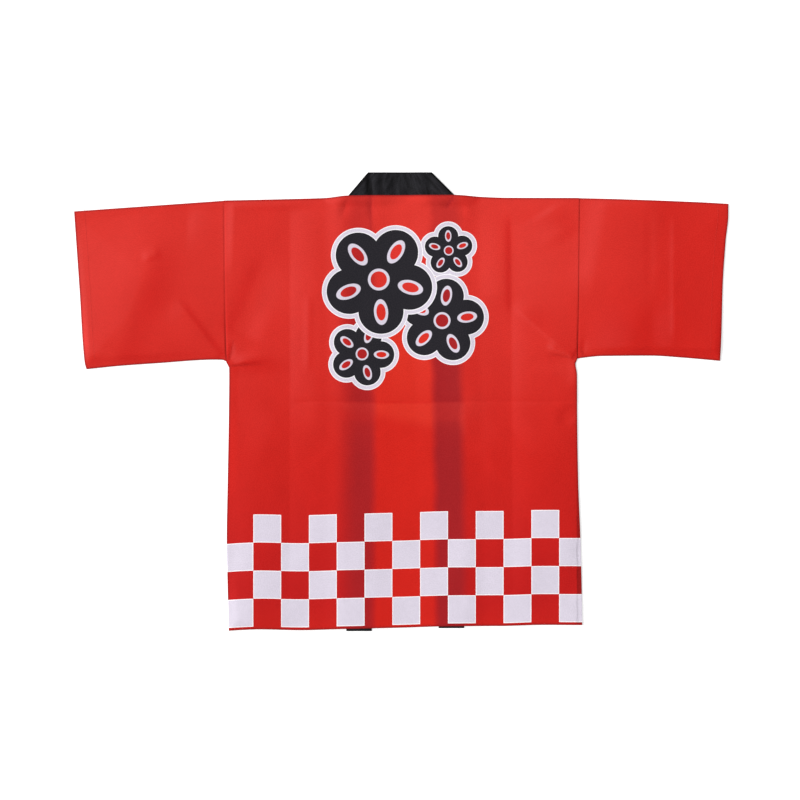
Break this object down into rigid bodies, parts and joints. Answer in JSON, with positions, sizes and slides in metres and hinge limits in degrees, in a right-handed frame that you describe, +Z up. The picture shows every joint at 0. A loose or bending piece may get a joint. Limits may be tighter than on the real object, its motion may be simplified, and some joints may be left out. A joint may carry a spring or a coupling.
{
  "type": "happi coat",
  "caption": "Short straight coat with wide square sleeves and a band collar, laid flat with its printed back up.",
  "frame": {"origin": "under the middle of the coat's bounding box, on the surface that it lies on", "axes": "+X from the wearer's left cuff to the right cuff, +Y from the hem to the collar, +Z up out of the coat's back"},
  "size_m": [1.1788, 0.8273, 0.0083],
  "materials": {
    "body_cloth": "matte woven cloth, red, with a printed check at the hem and a printed motif on the back",
    "collar_cloth": "matte woven cloth, black"
  },
  "bodies": {
    "root": {"back": "body_cloth", "left_front": "body_cloth", "right_front": "body_cloth", "left_sleeve": "body_cloth", "right_sleeve": "body_cloth", "collar": "collar_cloth"}
  },
  "joints": []
}
